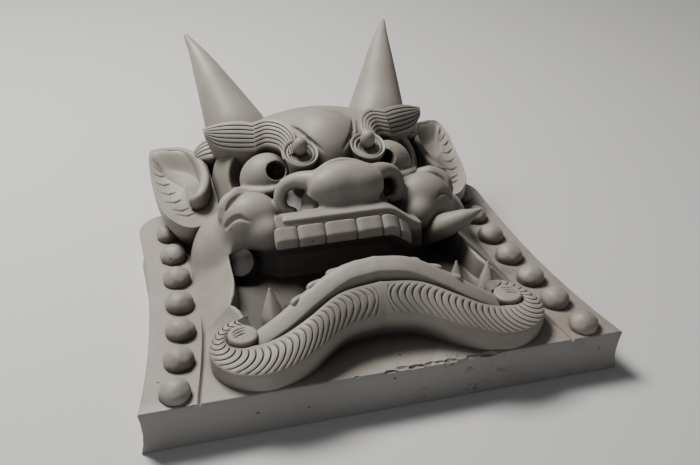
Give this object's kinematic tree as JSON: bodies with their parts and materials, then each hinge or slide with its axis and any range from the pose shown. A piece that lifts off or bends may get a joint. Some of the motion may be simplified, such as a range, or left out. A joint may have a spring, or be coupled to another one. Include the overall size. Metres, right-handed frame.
{
  "type": "onigawara roof tile",
  "caption": "Fired clay ridge-end roof tile with a horned ogre's face in high relief on a thick plate edged with pearls.",
  "frame": {"origin": "middle of the tile's footprint, at the level of its flat back", "axes": "+Z out of the ogre's face, +Y from the plate's bottom edge towards the horns, X across, with X = 0 the plane of symmetry"},
  "size_m": [0.42, 0.3936, 0.1962],
  "materials": {
    "smoked_clay": "unglazed smoked clay, grey-brown, matte with a slight carbon sheen"
  },
  "bodies": {
    "root": {"onigawara": "smoked_clay"}
  },
  "joints": []
}
